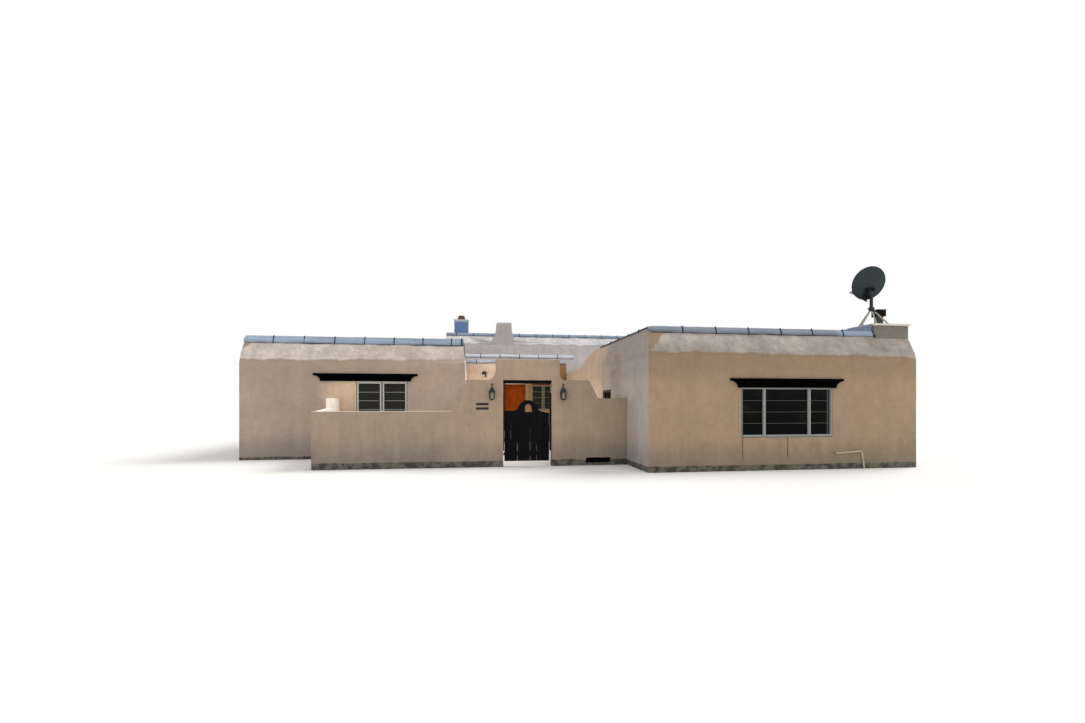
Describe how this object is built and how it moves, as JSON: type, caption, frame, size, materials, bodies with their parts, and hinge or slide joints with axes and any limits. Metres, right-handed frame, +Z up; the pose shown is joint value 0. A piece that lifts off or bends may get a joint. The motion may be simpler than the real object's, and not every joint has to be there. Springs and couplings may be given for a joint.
{
  "type": "adobe house",
  "caption": "Flat-roofed stuccoed house with two wings round a walled courtyard, an arched courtyard gate, a panelled front door and sloped parapets under draped roofing.",
  "frame": {"origin": "centre of the house's footprint, on the lowest ground", "axes": "+Z up, +X to the right as seen from the front, the front faces -Y"},
  "size_m": [19.09, 19.12, 6.57],
  "materials": {
    "stucco": "hand-trowelled stucco",
    "roofing": "mineral-faced roofing felt",
    "vent_metal": "weathered paint",
    "rusty_metal": "rusty",
    "dish_metal": "matt paint",
    "pipe": "matt",
    "black_wood": "black paint",
    "black_iron": "black paint",
    "window_frame": "weathered",
    "window_glass": "clear",
    "floor_tile": "clay tile",
    "door_trim": "stained",
    "door_wood": "varnished",
    "door_brass": "worn",
    "plate": "bare"
  },
  "bodies": {
    "house": {"left_front_wall": "stucco", "left_side_wall": "stucco", "left_court_wall": "stucco", "left_rear_wall": "stucco", "left_roof": "roofing", "left_cap": "roofing", "right_front_wall": "stucco", "right_side_wall": "stucco", "right_court_wall": "stucco", "right_rear_wall": "stucco", "right_roof": "roofing", "right_cap": "roofing", "main_front_left": "stucco", "main_front_right": "stucco", "main_front_head": "stucco", "main_rear_wall": "stucco", "main_roof": "roofing", "main_cap": "roofing", "middle_walls": "stucco", "middle_roof": "roofing", "upper_walls": "stucco", "upper_roof": "roofing", "centre_chimney": "stucco", "roof_vent": "vent_metal", "chimney_block": "stucco", "flue": "rusty_metal", "dish": "dish_metal", "dish_stand": "dish_metal", "drain_pipe": "pipe", "low_wall": "stucco", "return_wall": "stucco", "gate_wall_left": "stucco", "gate_wall_right": "stucco", "gate_head": "stucco", "gate_posts": "black_wood", "gate_pins": "black_iron", "lintels": "black_wood", "window_frames": "window_frame", "window_glass": "window_glass", "floor": "floor_tile", "door_frame": "door_trim", "door_pins": "door_brass", "wall_lights": "black_iron", "name_plates": "plate"},
    "gate": {"gate": "black_wood", "gate_straps": "black_iron"},
    "front_door": {"front_door": "door_wood", "door_knuckles": "door_brass"}
  },
  "joints": [
    {"name": "gate_hinge", "type": "hinge", "parent": "house", "child": "gate", "pos_m": [-1.586, -7.536, 0.31], "axis": [0, 0, 1], "range_deg": [0, 90]},
    {"name": "front_door_hinge", "type": "hinge", "parent": "house", "child": "front_door", "pos_m": [-0.937, 1.611, 0.75], "axis": [0, 0, 1], "range_deg": [0, 90]}
  ]
}
